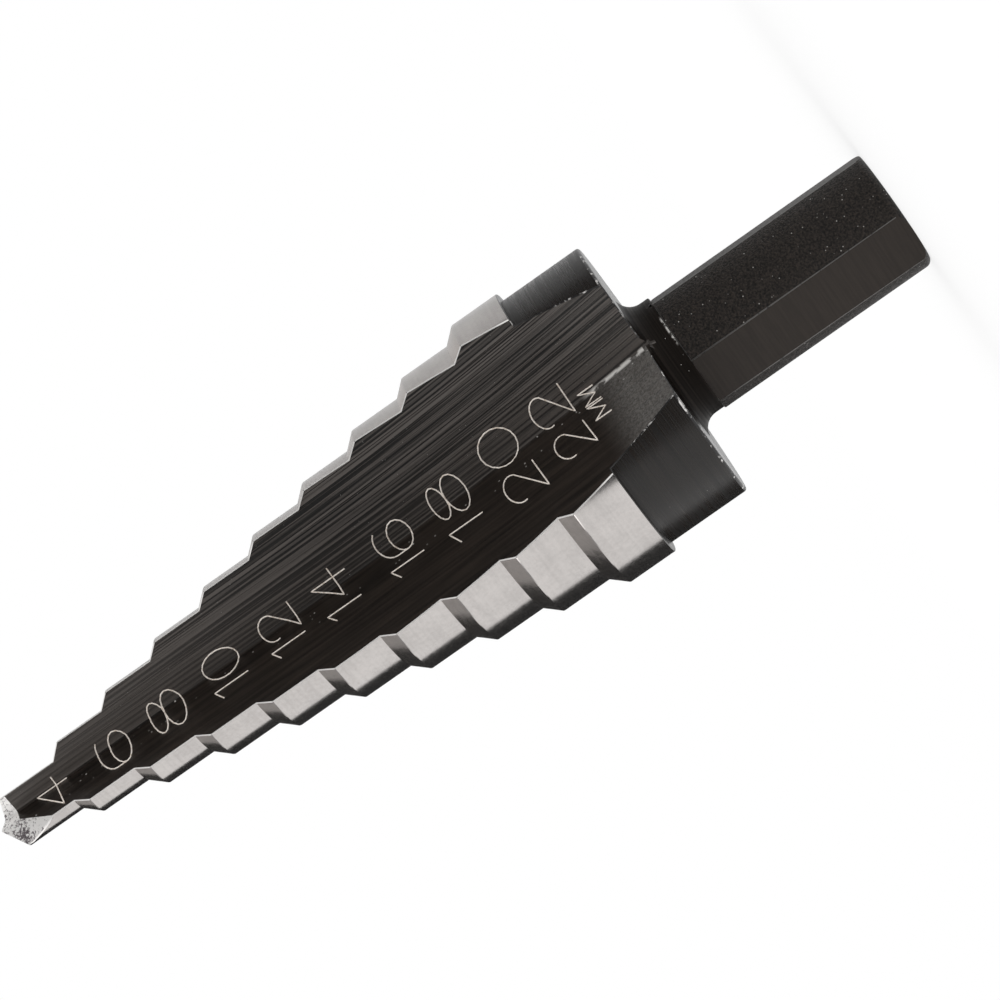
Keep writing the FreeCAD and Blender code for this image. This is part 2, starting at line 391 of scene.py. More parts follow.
@dataclass(frozen=True)
class Wear:
    """Marks near the collar, in metres and degrees: a streak that chips rubbed bright, a lighter
    grey mottling and a painted highlight of short strokes on the neck's edge.

    A rub or the grey mottling starts at one drop below the widest land's back edge and is full
    at another.
    """

    rub_start: float = 0.6 * MM
    rub_full: float = 2.2 * MM
    rub_end: float = 0.2 * MM
    rub_width: float = 0.3 * MM
    rub_core: float = 0.1 * MM
    scuff_start: float = 0.4 * MM
    scuff_full: float = 4.4 * MM
    # The stroke fields place the painted highlight on the neck's edge
    stroke_direction: float = -30.0
    stroke_facing: tuple[float, float] = (0.955, 0.99)
    stroke_core: float = 0.1 * MM
    stroke_width: float = 0.2 * MM
    fade: float = 0.05 * MM

    def rubbed_corner(self, graph: SurfaceGraph, distance: Value) -> Value:
        """Masks the streak that chips rubbed bright along the flute's corner.

        Args:
            graph: the material's graph.
            distance: distance from the flute's corner along one wall.

        Returns:
            A mask that is 1 on the streak.
        """
        back = graph.sizes.land_back
        end = graph.sizes.shank_length + self.rub_end
        rough = graph.turned_lines(1600, 700, 3.0)
        line = distance.between(self.rub_width, self.rub_core)
        line = line * graph.z.between(end, end + self.fade)
        line = line * graph.z.between(back - self.rub_start, back - self.rub_full)
        return line * rough.between(0.38, 0.5)

    def scuffs(self, graph: SurfaceGraph) -> Value:
        """Masks the rough grey skin where the flute nears the collar's back.

        Args:
            graph: the material's graph.

        Returns:
            A mask that is up to 0.85 on the skin.
        """
        back, end = graph.sizes.land_back, graph.sizes.shank_length
        grit = graph.noise(graph.place, 5500, 3.0, 0.7)
        reach = graph.z.between(back - self.scuff_start, back - self.scuff_full)
        reach = reach * graph.z.between(end - self.fade, end)
        return reach * (grit.between(0.3, 0.7) * 0.6 + 0.25)

    def neck_shine(self, graph: SurfaceGraph) -> Value:
        """Masks a painted highlight: short bright strokes on the neck's edge, facing one way.

        Args:
            graph: the material's graph.

        Returns:
            A mask that is 1 on the strokes.
        """
        # Painted highlight: bright only where the surface faces the stroke direction
        out = polar(self.stroke_direction)
        reach = (graph.x * graph.x + graph.y * graph.y).root()
        facing = (graph.x * out.x + graph.y * out.y) / reach
        edge = graph.sizes.neck_start
        stroke = graph.z.between(edge, edge + self.fade)
        stroke = stroke * graph.z.between(edge + self.stroke_width, edge + self.stroke_core)
        rough = graph.noise(graph.place, 2600, 3.0).between(0.38, 0.52)
        return stroke * facing.between(*self.stroke_facing) * rough


WEAR = Wear()


@dataclass(frozen=True)
class Finish:
    """A surface's finish."""

    name: str

    def material(self, sizes: DrillSizes) -> bpy.types.Material:
        """Builds the material for a drill of the given sizes."""
        graph = SurfaceGraph(self.name, sizes)
        return graph.finished(graph.shader(*self.draw(graph)))

    def draw(self, graph: SurfaceGraph) -> tuple[dict, Value, float]:
        """Draws the finish.

        Args:
            graph: the material's graph.

        Returns:
            The shader's inputs, bump and depth.
        """
        raise NotImplementedError


class Grain(Enum):
    """The marks that a tool left in a black surface."""

    HEEL = "long grinding lines on the heel wall"
    FACE = "polish and specks on the cutting face"
    TURNED = "fine lines round the axis"
    SPECKLED = "pickled skin with bright specks"
    MILLED = "even milled flat"


@dataclass(frozen=True)
class BlackOxide(Finish):
    """Blackened steel with the grain of one tool."""

    grain: Grain
    shade: float
    roughness: float = 0.42
    specular: float = 0.5
    depth: float = 0.02 * MM
    tint: Shade = (1.2, 0.91, 0.73)
    groove_share: float = 0.12
    ridge_share: float = 1.7
    ridge_gloss: float = 0.25
    # Colour of the bare spots and of the painted highlights
    bare_colour: Colour = (0.66, 0.64, 0.61, 1)
    bare_metal: float = 0.3

    def draw(self, graph: SurfaceGraph) -> tuple[dict, Value, float]:
        """Draws the finish.

        Args:
            graph: the material's graph.

        Returns:
            The shader's inputs, bump and depth.
        """
        lines, bright = self.pattern(graph)
        low = scaled(self.tint, self.shade * self.groove_share)
        high = scaled(self.tint, self.shade * self.ridge_share)
        inputs = {
            "Base Color": graph.mix(bright, graph.mix(lines, low, high), self.bare_colour),
            "Roughness": self.roughness + (0.5 - lines) * self.ridge_gloss,
            "Metallic": bright * self.bare_metal,
            "Specular IOR Level": self.specular,
        }
        return inputs, lines + bright, self.depth

    def pattern(self, graph: SurfaceGraph) -> tuple[Value, Value]:
        """Draws the grain.

        Args:
            graph: the material's graph.

        Returns:
            The height of the lines, from 0 to 1, and a mask of bare bright spots and of painted
            highlights.
        """
        makers = {
            Grain.HEEL: self.heel_grain,
            Grain.FACE: self.face_grain,
            Grain.TURNED: self.turned_grain,
            Grain.SPECKLED: self.speckled_grain,
            Grain.MILLED: self.milled_grain,
        }
        return makers[self.grain](graph)

    def heel_grain(self, graph: SurfaceGraph) -> tuple[Value, Value]:
        """Draws grinding lines that deepen towards the collar and away from the flute's corner.

        Args:
            graph: the material's graph.

        Returns:
            The lines and the bare spots.
        """
        heel, _ = graph.along_flute()
        tip = graph.sizes.height
        broad, fine = graph.wall_lines(heel, 2400, 18, 0), graph.wall_lines(heel, 5200, 32, 3)
        cuts = fine.between(0.42, 0.54) * (broad.between(0.36, 0.56) * 0.45 + 0.55)
        to_collar = graph.z.between(tip - 4 * MM, tip - 34 * MM)
        from_corner = heel.between(0.5 * MM, 5 * MM)
        deep = to_collar * 0.4 + from_corner * 0.25 + 0.35
        dust = (graph.specks(2600, 0.08) * 0.4).greatest(WEAR.scuffs(graph) * 0.025)
        return 1 - (1 - cuts) * deep, WEAR.rubbed_corner(graph, heel).greatest(dust)

    def face_grain(self, graph: SurfaceGraph) -> tuple[Value, Value]:
        """Draws faint lines under dots that thicken towards the flute's corner.

        Args:
            graph: the material's graph.

        Returns:
            The lines and the bare spots.
        """
        _, face = graph.along_flute()
        fine = graph.wall_lines(face, 3000, 120, 1, 2.0)
        dust = graph.specks(1900, 0.18) * face.between(3.5 * MM, 0.4 * MM) * 0.7
        dust = dust.greatest(WEAR.scuffs(graph) * 0.24)
        return fine.between(0.0, 1.0), WEAR.rubbed_corner(graph, face).greatest(dust)

    def turned_grain(self, graph: SurfaceGraph) -> tuple[Value, Value]:
        """Draws fine lines round the axis.

        Args:
            graph: the material's graph.

        Returns:
            The lines, and the bright specks with the painted highlight on the neck's edge.
        """
        lines = graph.turned_lines(90, 9000) * 0.65 + graph.turned_lines(40, 2200) * 0.35
        # The neck's painted highlight joins the bright specks
        bright = graph.specks(1800, 0.06).greatest(WEAR.neck_shine(graph))
        return lines.between(0.1, 0.9), bright

    def speckled_grain(self, graph: SurfaceGraph) -> tuple[Value, Value]:
        """Returns a pickled skin and the bright specks on it."""
        skin = graph.noise(graph.place, 6500, 3.0, 0.6).between(0.25, 0.8)
        return skin, graph.specks(3200, 0.17) * 0.6

    def milled_grain(self, graph: SurfaceGraph) -> tuple[Value, Value]:
        """Returns an almost even skin and a few specks on it."""
        even = graph.turned_lines(300, 5200).between(0.2, 0.8)
        return even * 0.16 + 0.42, graph.specks(900, 0.05)


@dataclass(frozen=True)
class GroundSteel(Finish):
    """Bare steel, ground bright."""

    shade: Shade = (0.575, 0.545, 0.527)
    roughness: float = 0.16
    mottle: float = 0.12
    depth: float = 0.003 * MM
    grit_scale: float = 3200.0

    def draw(self, graph: SurfaceGraph) -> tuple[dict, Value, float]:
        """Draws the finish.

        Args:
            graph: the material's graph.

        Returns:
            The shader's inputs, bump and depth.
        """
        cloud = graph.noise(graph.place, 420, 3.0)
        grit = graph.noise(graph.place, self.grit_scale, 3.0, 0.7)
        lines = graph.turned_lines(150, 3600)
        tone = (cloud * 0.4 + grit * 0.35 + lines * 0.25).between(0.35, 0.65)
        low = scaled(self.shade, 1 - self.mottle)
        high = scaled(self.shade, 1 + self.mottle * 0.5)
        inputs = {
            "Base Color": graph.mix(tone, low, high),
            "Roughness": self.roughness + (grit - 0.5) * 0.15,
            "Metallic": 1.0,
        }
        return inputs, grit * 0.6 + lines * 0.4, self.depth


@dataclass(frozen=True)
class GashSteel(Finish):
    """Coarsely ground bare steel, which glitters where the wheel left its grain."""

    dark: Colour = (0.13, 0.11, 0.12, 1)
    bright: Colour = (0.92, 0.9, 0.88, 1)
    roughness: float = 0.45
    metal: float = 0.35
    depth: float = 0.03 * MM
    grit_scale: float = 5200.0

    def draw(self, graph: SurfaceGraph) -> tuple[dict, Value, float]:
        """Draws the finish, with painted light: brighter on the ramp and the cutting edge's side.

        Args:
            graph: the material's graph.

        Returns:
            The shader's inputs, bump and depth.
        """
        grit = graph.noise(graph.place, self.grit_scale, 3.0, 0.65)
        patch = graph.noise(graph.place, 900, 2.0)
        floor_end = graph.sizes.height - graph.sizes.bright_tip
        # Painted light: the ramp and the side of the cutting edge are drawn brighter
        ramp = graph.z.between(floor_end, floor_end - 0.7 * MM)
        fresh = graph.y.between(-0.6 * MM, 0.5 * MM).greatest(ramp)
        tone = (grit * 0.7 + patch * 0.3 + fresh * 0.07).between(0.42, 0.56)
        inputs = {
            "Base Color": graph.mix(tone, self.dark, self.bright),
            "Roughness": self.roughness - tone * 0.15,
            "Metallic": self.metal,
        }
        return inputs, grit, self.depth


@dataclass(frozen=True)
class WornEdge(Finish):
    """An edge where the black skin has rubbed through to bare steel in places.

    On the collar's rim the bright patches are partly a painted glint of the chamfer.
    """

    cover: float
    nick_scale: float
    bare_colour: Colour
    skin_colour: Colour = (0.012, 0.011, 0.011, 1)
    blur: float = 0.06
    roughness: float = 0.42
    depth: float = 0.02 * MM

    def draw(self, graph: SurfaceGraph) -> tuple[dict, Value, float]:
        """Draws the finish.

        Args:
            graph: the material's graph.

        Returns:
            The shader's inputs, bump and depth.
        """
        nicks = graph.noise(graph.place, self.nick_scale, 3.0, 0.7)
        bare = nicks.between(self.cover + self.blur, self.cover - self.blur)
        inputs = {
            "Base Color": graph.mix(bare, self.skin_colour, self.bare_colour),
            "Roughness": self.roughness - bare * 0.1,
            "Metallic": bare * 0.4,
        }
        return inputs, nicks, self.depth


@dataclass(frozen=True)
class BurntLine(Finish):
    """The pale trace of a marking beam."""

    dull: Colour = (0.60, 0.51, 0.43, 1)
    pale: Colour = (0.87, 0.80, 0.73, 1)
    roughness: float = 0.5
    depth: float = 0.02 * MM

    def draw(self, graph: SurfaceGraph) -> tuple[dict, Value, float]:
        """Draws the finish.

        Args:
            graph: the material's graph.

        Returns:
            The shader's inputs, bump and depth.
        """
        beads = graph.noise(graph.place, 5200, 2.0)
        colour = graph.mix(beads.between(0.3, 0.55), self.dull, self.pale)
        return {"Base Color": colour, "Roughness": self.roughness + beads * 0.3}, beads, self.depth


class Region(IntEnum):
    """The drill's surfaces, in the order of its material slots."""

    SHANK_END = 0
    SHANK_ROUND = 1
    SHANK_FLAT = 2
    NECK = 3
    COLLAR = 4
    LAND = 5
    SLOPE = 6
    POINT = 7
    HEEL_WALL = 8
    CUTTING_FACE = 9
    GASH = 10
    WORN_EDGE = 11
    GROUND_EDGE = 12
    BURR = 13


BLACK_WALLS = {Region.HEEL_WALL, Region.CUTTING_FACE}
FLUTE_WALLS = BLACK_WALLS | {Region.GASH}
GROUND_STEPS = {Region.LAND, Region.SLOPE, Region.POINT}
TURNED_ROUND = {Region.SHANK_ROUND, Region.COLLAR, Region.LAND, Region.SLOPE}

FINISHES = {
    Region.SHANK_END: BlackOxide("oxide_shank_end", Grain.TURNED, shade=0.02),
    Region.SHANK_ROUND: BlackOxide(
        "oxide_shank_round", Grain.SPECKLED, shade=0.016, roughness=0.45, specular=0.26
    ),
    Region.SHANK_FLAT: BlackOxide(
        "oxide_shank_flat", Grain.MILLED, shade=0.022, roughness=0.5, specular=0.22
    ),
    Region.NECK: BlackOxide(
        "oxide_neck", Grain.TURNED, shade=0.009, roughness=0.45, specular=0.06, depth=0.01 * MM
    ),
    Region.COLLAR: BlackOxide(
        "oxide_collar", Grain.TURNED, shade=0.008, roughness=0.29, specular=0.4, depth=0.008 * MM
    ),
    Region.LAND: GroundSteel("ground_land"),
    Region.SLOPE: GroundSteel("ground_slope", shade=(0.57, 0.52, 0.49), roughness=0.2),
    Region.POINT: GroundSteel(
        "ground_point", shade=(0.55, 0.53, 0.51), roughness=0.28, mottle=0.3
    ),
    Region.HEEL_WALL: BlackOxide(
        "oxide_heel_wall", Grain.HEEL, shade=0.042, roughness=0.45, specular=0.3,
        depth=0.03 * MM, tint=(1.06, 0.92, 0.83)
    ),
    Region.CUTTING_FACE: BlackOxide(
        "oxide_cutting_face", Grain.FACE, shade=0.018, specular=0.3, depth=0.008 * MM
    ),
    Region.GASH: GashSteel("ground_gash"),
    Region.WORN_EDGE: WornEdge(
        "worn_edge", cover=0.6, nick_scale=1400.0, bare_colour=(0.11, 0.105, 0.1, 1)
    ),
    Region.GROUND_EDGE: WornEdge(
        "ground_edge", cover=0.8, nick_scale=1400.0, bare_colour=(0.8, 0.78, 0.76, 1)
    ),
    # Real burr and nicks, and on the collar's rim a painted glint of the chamfer
    Region.BURR: WornEdge("burr", cover=0.41, nick_scale=1100.0, bare_colour=(0.72, 0.7, 0.68, 1)),
}


@dataclass(frozen=True)
class SurfaceMap:
    """Tells the drill's surfaces apart by where a face lies and which way it faces."""

    sizes: DrillSizes
    tolerance: float = 0.03 * MM
    end_facing: float = -0.9
    flat_facing: float = 0.9999
    flat_slack: float = 1.001
    wall_swirl: float = 0.1
    gash_facing: float = 0.7
    slope_facing: float = 0.3
    neck_radius: float = 7 * MM
    point_share: float = 0.99

    def region(self, centre: Vector, normal: Vector) -> Region:
        """Tells which surface a face belongs to.

        Args:
            centre: the face's centre.
            normal: the face's normal.

        Returns:
            The region.
        """
        sizes = self.sizes
        if centre.z < self.tolerance and normal.z < self.end_facing:
            return Region.SHANK_END
        if centre.z < sizes.neck_start + self.tolerance:
            return self.shank_region(centre, normal)
        swirl = abs(normal.cross(Vector((centre.x, centre.y, 0)).normalized()).z)
        heel, face = (abs(depth) for depth in sizes.wall_heights(centre))
        on_wall = swirl > self.wall_swirl and min(heel, face) < self.tolerance
        if on_wall or max(heel, face) < sizes.flute_corner:
            if centre.z > sizes.height - sizes.bright_tip:
                return Region.GASH
            return Region.HEEL_WALL if heel < face else Region.CUTTING_FACE
        ground_back = normal.dot(polar(sizes.gash_direction)) > self.gash_facing
        near_tip = centre.z > sizes.height - sizes.gash_reach
        if ground_back and near_tip and swirl > self.wall_swirl:
            return Region.GASH
        return self.turned_region(centre, normal)

    def shank_region(self, centre: Vector, normal: Vector) -> Region:
        """Tells the shank's flats from its round.

        Args:
            centre: the face's centre.
            normal: the face's normal.

        Returns:
            The region.
        """
        for index in range(self.sizes.flat_count):
            facing = polar(360 / self.sizes.flat_count * index - 90)
            inside = centre.dot(facing) < self.sizes.flat_distance * self.flat_slack
            if normal.dot(facing) > self.flat_facing and inside:
                return Region.SHANK_FLAT
        return Region.SHANK_ROUND

    def turned_region(self, centre: Vector, normal: Vector) -> Region:
        """Tells the neck, the collar, the point, the slopes and the lands apart.

        Args:
            centre: the face's centre.
            normal: the face's normal.

        Returns:
            The region.
        """
        radius = math.hypot(centre.x, centre.y)
        if centre.z < self.sizes.shank_length - self.tolerance and radius < self.neck_radius:
            return Region.NECK
        if centre.z < self.sizes.land_back + self.tolerance:
            return Region.COLLAR
        if radius < self.sizes.first_diameter / 2 * self.point_share:
            return Region.POINT
        return Region.SLOPE if normal.z > self.slope_facing else Region.LAND


def deselect() -> None:
    """Deselects every object."""
    bpy.ops.object.select_all(action="DESELECT")


def make_active(piece: bpy.types.Object) -> None:
    """Selects one object alone and makes it active.

    Args:
        piece: the object.
    """
    deselect()
    piece.select_set(True)
    bpy.context.view_layer.objects.active = piece


@dataclass
class DrillBody:
    """The drill's steel: the CAD solid's surface with broken edges, and a finish for each area."""

    sizes: DrillSizes
    surfaces: SurfaceMap
    merge_distance: float = 0.001 * MM
    plane_angle: float = 0.2
    edge_break: float = 0.1 * MM
    land_break_share: float = 0.4
    wall_break_share: float = 0.7
    end_margin: float = 0.6 * MM
    tip_margin: float = 0.01 * MM
    sharp_angle: float = 24.0
    smooth_angle: float = 30.0
    facet_angle: float = 9.0
    name: str = "step_drill_body"

    def build(self, node: bpy.types.Object) -> bpy.types.Object:
        """Copies the CAD node, cleans the copy, and dresses it.

        Args:
            node: the CAD node, which stays as it is.

        Returns:
            The finished piece.
        """
        piece = bpy.data.objects.new(self.name, node.data.copy())
        bpy.context.scene.collection.objects.link(piece)
        self.clean(piece)
        self.mark_bright_tip(piece)
        self.sort_faces(piece)
        self.break_edges(piece)
        self.sort_edges(piece)
        self.round_off(piece)
        return piece

    def clean(self, piece: bpy.types.Object) -> None:
        """Merges the loose triangles and joins those that share a plane.

        Args:
            piece: the copy of the CAD node.
        """
        make_active(piece)
        bpy.ops.object.mode_set(mode="EDIT")
        bpy.ops.mesh.select_all(action="SELECT")
        bpy.ops.mesh.remove_doubles(threshold=self.merge_distance)
        bpy.ops.mesh.dissolve_limited(angle_limit=math.radians(self.plane_angle))
        bpy.ops.object.mode_set(mode="OBJECT")

    def mark_bright_tip(self, piece: bpy.types.Object) -> None:
        """Divides the flute's walls where the bright grinding of the point ends.

        Args:
            piece: the clean body.
        """
        line = self.sizes.height - self.sizes.bright_tip
        make_active(piece)
        bpy.ops.object.mode_set(mode="EDIT")
        bpy.ops.mesh.select_all(action="DESELECT")
        bpy.ops.object.mode_set(mode="OBJECT")
        for face in piece.data.polygons:
            face.select = self.surfaces.region(face.center, face.normal) in BLACK_WALLS
        bpy.ops.object.mode_set(mode="EDIT")
        bpy.ops.mesh.bisect(plane_co=(0, 0, line), plane_no=(0, 0, 1))
        bpy.ops.object.mode_set(mode="OBJECT")

    def sort_faces(self, piece: bpy.types.Object) -> None:
        """Gives every face the slot of its region.

        Args:
            piece: the body.
        """
        piece.data.materials.clear()
        for region in Region:
            piece.data.materials.append(FINISHES[region].material(self.sizes))
        for face in piece.data.polygons:
            face.material_index = self.surfaces.region(face.center, face.normal)

    def stays_whole(self, edge: bmesh.types.BMEdge) -> bool:
        """Tells whether an edge isn't broken.

        Args:
            edge: an edge of the body.

        Returns:
            True for a smooth edge, an inner corner, one round the shank's end and one at the tip.
        """
        top = max(corner.co.z for corner in edge.verts)
        at_an_end = top < self.end_margin or top > self.sizes.height - self.tip_margin
        smooth = edge.calc_face_angle(0) < math.radians(self.sharp_angle)
        return at_an_end or smooth or not edge.is_convex

    def break_edges(self, piece: bpy.types.Object) -> None:
        """Breaks the sharp edges with a narrow bevel and smooths the rest.

        Args:
            piece: the body, with its faces sorted.
        """
        piece.data.attributes.new("bevel_weight_edge", "FLOAT", "EDGE")
        mesh = bmesh.new()
        mesh.from_mesh(piece.data)
        layer = mesh.edges.layers.float["bevel_weight_edge"]
        for edge in mesh.edges:
            sides = {Region(face.material_index) for face in edge.link_faces}
            if self.stays_whole(edge) or sides <= FLUTE_WALLS:
                continue
            on_land = sides <= GROUND_STEPS
            edge[layer] = self.land_break_share if on_land else self.wall_break_share
        mesh.to_mesh(piece.data)
        mesh.free()
        make_active(piece)
        bevel = piece.modifiers.new("edge_break", "BEVEL")
        bevel.width = self.edge_break
        bevel.limit_method = "WEIGHT"
        bevel.segments = 1
        bevel.use_clamp_overlap = False
        bevel.loop_slide = False
        bevel.material = Region.WORN_EDGE
        bpy.ops.object.modifier_apply(modifier=bevel.name)
        bpy.ops.object.shade_smooth_by_angle(angle=math.radians(self.smooth_angle))

    def sort_edges(self, piece: bpy.types.Object) -> None:
        """Finishes every broken edge to suit its sides, and keeps each region's border sharp.

        Args:
            piece: the body, with its edges broken.
        """
        mesh = bmesh.new()
        mesh.from_mesh(piece.data)
        mesh.faces.ensure_lookup_table()
        found = {}
        for face in mesh.faces:
            if face.material_index == Region.WORN_EDGE:
                beside = {near.material_index for edge in face.edges for near in edge.link_faces}
                found[face.index] = self.edge_finish({Region(index) for index in beside})
        for edge in mesh.edges:
            sides = {Region(face.material_index) for face in edge.link_faces}
            if len(sides) > 1 and not sides <= FLUTE_WALLS:
                edge.smooth = False
        for index, finish in found.items():
            mesh.faces[index].material_index = finish
        mesh.to_mesh(piece.data)
        mesh.free()

    def edge_finish(self, beside: set[Region]) -> Region:
        """Chooses the finish of a broken edge.

        Args:
            beside: the regions on its sides.

        Returns:
            The region whose finish it takes.
        """
        if Region.NECK in beside:
            return Region.NECK
        if beside & GROUND_STEPS and not beside & FLUTE_WALLS:
            return Region.COLLAR if Region.COLLAR in beside else Region.LAND
        if Region.COLLAR in beside:
            # The collar's rim: real burr and a painted glint
            return Region.BURR
        return Region.GROUND_EDGE if beside & FLUTE_WALLS else Region.WORN_EDGE

    def round_off(self, piece: bpy.types.Object) -> None:
        """Shades the turned surfaces as true cylinders and cones instead of as facets.

        Args:
            piece: the body, with all its faces in place.
        """
        mesh = piece.data
        nearly_flush = math.cos(math.radians(self.facet_angle))
        normals = [corner.vector.copy() for corner in mesh.corner_normals]
        for face in mesh.polygons:
            if face.material_index not in TURNED_ROUND:
                continue
            lift = face.normal.z
            for corner in face.loop_indices:
                place = mesh.vertices[mesh.loops[corner].vertex_index].co
                radial = Vector((place.x, place.y, 0)).normalized()
                true = radial * math.sqrt(1 - min(lift**2, 1)) + Vector((0, 0, lift))
                if true.dot(face.normal) > nearly_flush:
                    normals[corner] = true
        mesh.normals_split_custom_set(normals)


def arc(
    centre: tuple[float, float],
    radii: tuple[float, float],
    start: float,
    end: float,
    count: int = 14,
) -> Stroke:
    """Draws part of an oval.

    Args:
        centre: the oval's centre.
        radii: its half width and half height.
        start: first angle in degrees.
        end: last angle in degrees.
        count: how many straight pieces.

    Returns:
        The points.
    """
    angles = [math.radians(start + (end - start) * index / count) for index in range(count + 1)]
    return [
        (centre[0] + radii[0] * math.cos(angle), centre[1] + radii[1] * math.sin(angle))
        for angle in angles
    ]


# Single-stroke signs in a box one unit wide and one high
SIGNS: dict[str, list[Stroke]] = {
    "0": [arc((0.5, 0.5), (0.5, 0.5), 90, 450, 18)],
    "1": [[(1, 0), (1, 1), (0, 0.84)]],
    "2": [arc((0.5, 0.7), (0.5, 0.3), 195, -25) + [(0, 0), (1, 0)]],
    "4": [[(0.66, 0), (0.66, 1), (0, 0.36), (1, 0.36)]],
    "6": [
        arc((0.55, 0.62), (0.55, 0.38), 40, 180, 9) + [(0.0, 0.32)],
        arc((0.5, 0.3), (0.5, 0.3), 90, 450, 16),
    ],
    "8": [
        arc((0.5, 0.79), (0.44, 0.21), 90, 450, 16),
        arc((0.5, 0.29), (0.5, 0.29), 90, 450, 16),
    ],
    "M": [[(0, 0), (0, 1), (0.5, 0.1), (1, 1), (1, 0)]],
}


@dataclass(frozen=True)
class Figure:
    """One sign on the flute, placed as the marking beam sees it.

    Its top and bottom are millimetres below the tip, and its left and right millimetres from the
    axis.
    """

    sign: str
    top: float
    bottom: float
    left: float
    right: float


# From the smallest step to the widest, and then the unit
FIGURES = (
    Figure("4", 3.4, 6.0, -0.9, 1.2),
    Figure("6", 8.7, 11.3, -1.0, 1.35),
    Figure("8", 13.3, 16.1, -1.07, 1.6),
    Figure("1", 18.3, 21.2, -1.3, -0.67),
    Figure("0", 18.3, 21.2, -0.1, 1.85),
    Figure("1", 23.25, 26.15, -1.3, -0.7),
    Figure("2", 23.25, 26.15, -0.13, 1.8),
    Figure("1", 28.0, 30.9, -1.4, -0.85),
    Figure("4", 28.0, 30.9, -0.15, 2.1),
    Figure("1", 33.5, 36.35, -1.5, -0.83),
    Figure("6", 33.5, 36.35, -0.1, 2.2),
    Figure("1", 38.4, 41.25, -1.87, -1.0),
    Figure("8", 38.4, 41.25, -0.2, 2.7),
    Figure("2", 43.25, 46.15, -2.07, 0.0),
    Figure("0", 43.25, 46.15, 0.7, 3.46),
    Figure("2", 47.8, 50.6, -1.5, 0.24),
    Figure("2", 47.8, 50.6, 1.06, 3.4),
    Figure("M", 51.3, 52.6, -0.33, 0.7),
    Figure("M", 51.3, 52.6, 0.84, 1.87),
)


@dataclass
class StepNumbers:
    """The steps' diameters, traced on the flute by a beam from one side."""

    sizes: DrillSizes
    beam: Vector
    line_width: float = 0.115 * MM
    point_spacing: float = 0.12 * MM
    beam_length: float = 0.1
    name: str = "step_numbers"
    figures: tuple[Figure, ...] = FIGURES

    def build(self, body: bpy.types.Object) -> bpy.types.Object:
        """Traces every figure on the body.

        Args:
            body: the drill's body, on which the beam falls.

        Returns:
            The finished piece.
        """
        line = bpy.data.curves.new(self.name, "CURVE")
        line.dimensions = "3D"
        line.bevel_depth = self.line_width / 2
        line.bevel_resolution = 1
        line.use_fill_caps = True
        for figure in self.figures:
            for stroke in SIGNS[figure.sign]:
                self.trace(line, self.spread(stroke, figure), body)
        piece = bpy.data.objects.new(self.name, line)
        bpy.context.scene.collection.objects.link(piece)
        make_active(piece)
        bpy.ops.object.convert(target="MESH")
        piece = bpy.context.view_layer.objects.active
        piece.name = self.name
        bpy.ops.object.shade_smooth()
        piece.data.materials.clear()
        piece.data.materials.append(BurntLine("burnt_line").material(self.sizes))
        return piece

    def spread(self, stroke: Stroke, figure: Figure) -> list[Vector]:
        """Sets a stroke's points out in the plane through the axis that faces the beam.

        Args:
            stroke: points in the unit box.
            figure: the figure's place.

        Returns:
            Points no further apart than the point spacing.
        """
        across = Vector((0, 0, 1)).cross(self.beam).normalized()
        corners = []
        for right, up in stroke:
            axial = figure.bottom + (figure.top - figure.bottom) * up
            side = figure.left + (figure.right - figure.left) * right
            corners.append(across * side * MM + Vector((0, 0, self.sizes.height - axial * MM)))
        points = [corners[0]]
        for start, end in zip(corners, corners[1:]):
            count = max(1, math.ceil((end - start).length / self.point_spacing))
            points += [start.lerp(end, step / count) for step in range(1, count + 1)]
        return points

    def trace(self, line: bpy.types.Curve, points: list[Vector], body: bpy.types.Object) -> None:
        """Lays one stroke on the body.

        Args:
            line: the curve that gets the stroke.
            points: the stroke in the plane that faces the beam.
            body: the drill's body.
        """
        landed = []
        for point in points:
            hit, place, _, _ = body.ray_cast(point + self.beam * self.beam_length, -self.beam)
            if hit:
                landed.append(place)
        spline = line.splines.new("POLY")
        spline.points.add(len(landed) - 1)
        for target, place in zip(spline.points, landed):
            target.co = (*place, 1)


@dataclass(frozen=True)
class CameraStand:
    """The camera that sees the drill as the photograph does."""

    azimuth: float = 35.0
    elevation: float = -4.218
    roll: float = 34.991
    distance: float = 291.8 * MM
    target: tuple[float, float, float] = (-0.993 * MM, -0.327 * MM, 34.409 * MM)
    lens: float = 149.03
    sensor: float = 36.0
    nearest: float = 0.01
    furthest: float = 20.0

    @property
    def back(self) -> Vector:
        """Direction from the drill to the camera."""
        rise = math.radians(self.elevation)
        return polar(self.azimuth - 90) * math.cos(rise) + Vector((0, 0, math.sin(rise)))

    def build(self) -> bpy.types.Object:
        """Sets up the camera.

        Returns:
            The camera.
        """
        back = self.back
        along = (back * back.z - Vector((0, 0, 1))).normalized()
        across = back.cross(along)
        turn = math.radians(self.roll)
        right = along * math.cos(turn) - across * math.sin(turn)
        up = along * math.sin(turn) + across * math.cos(turn)
        bpy.ops.object.camera_add()
        camera = bpy.context.view_layer.objects.active
        camera.name = "camera"
        camera.data.lens = self.lens
        camera.data.sensor_width = self.sensor
        camera.data.clip_start = self.nearest
        camera.data.clip_end = self.furthest
        place = Matrix((right, up, back)).transposed().to_4x4()
        place.translation = Vector(self.target) + back * self.distance
        camera.matrix_world = place
        bpy.context.scene.camera = camera
        return camera


@dataclass(frozen=True)
class DarkCard:
    """A dark card that only reflections see, given in degrees round the axis and up from level."""

    name: str
    start: float
    end: float
    low: float
    high: float
    shade: float = 0.02
    distance: float = 250 * MM


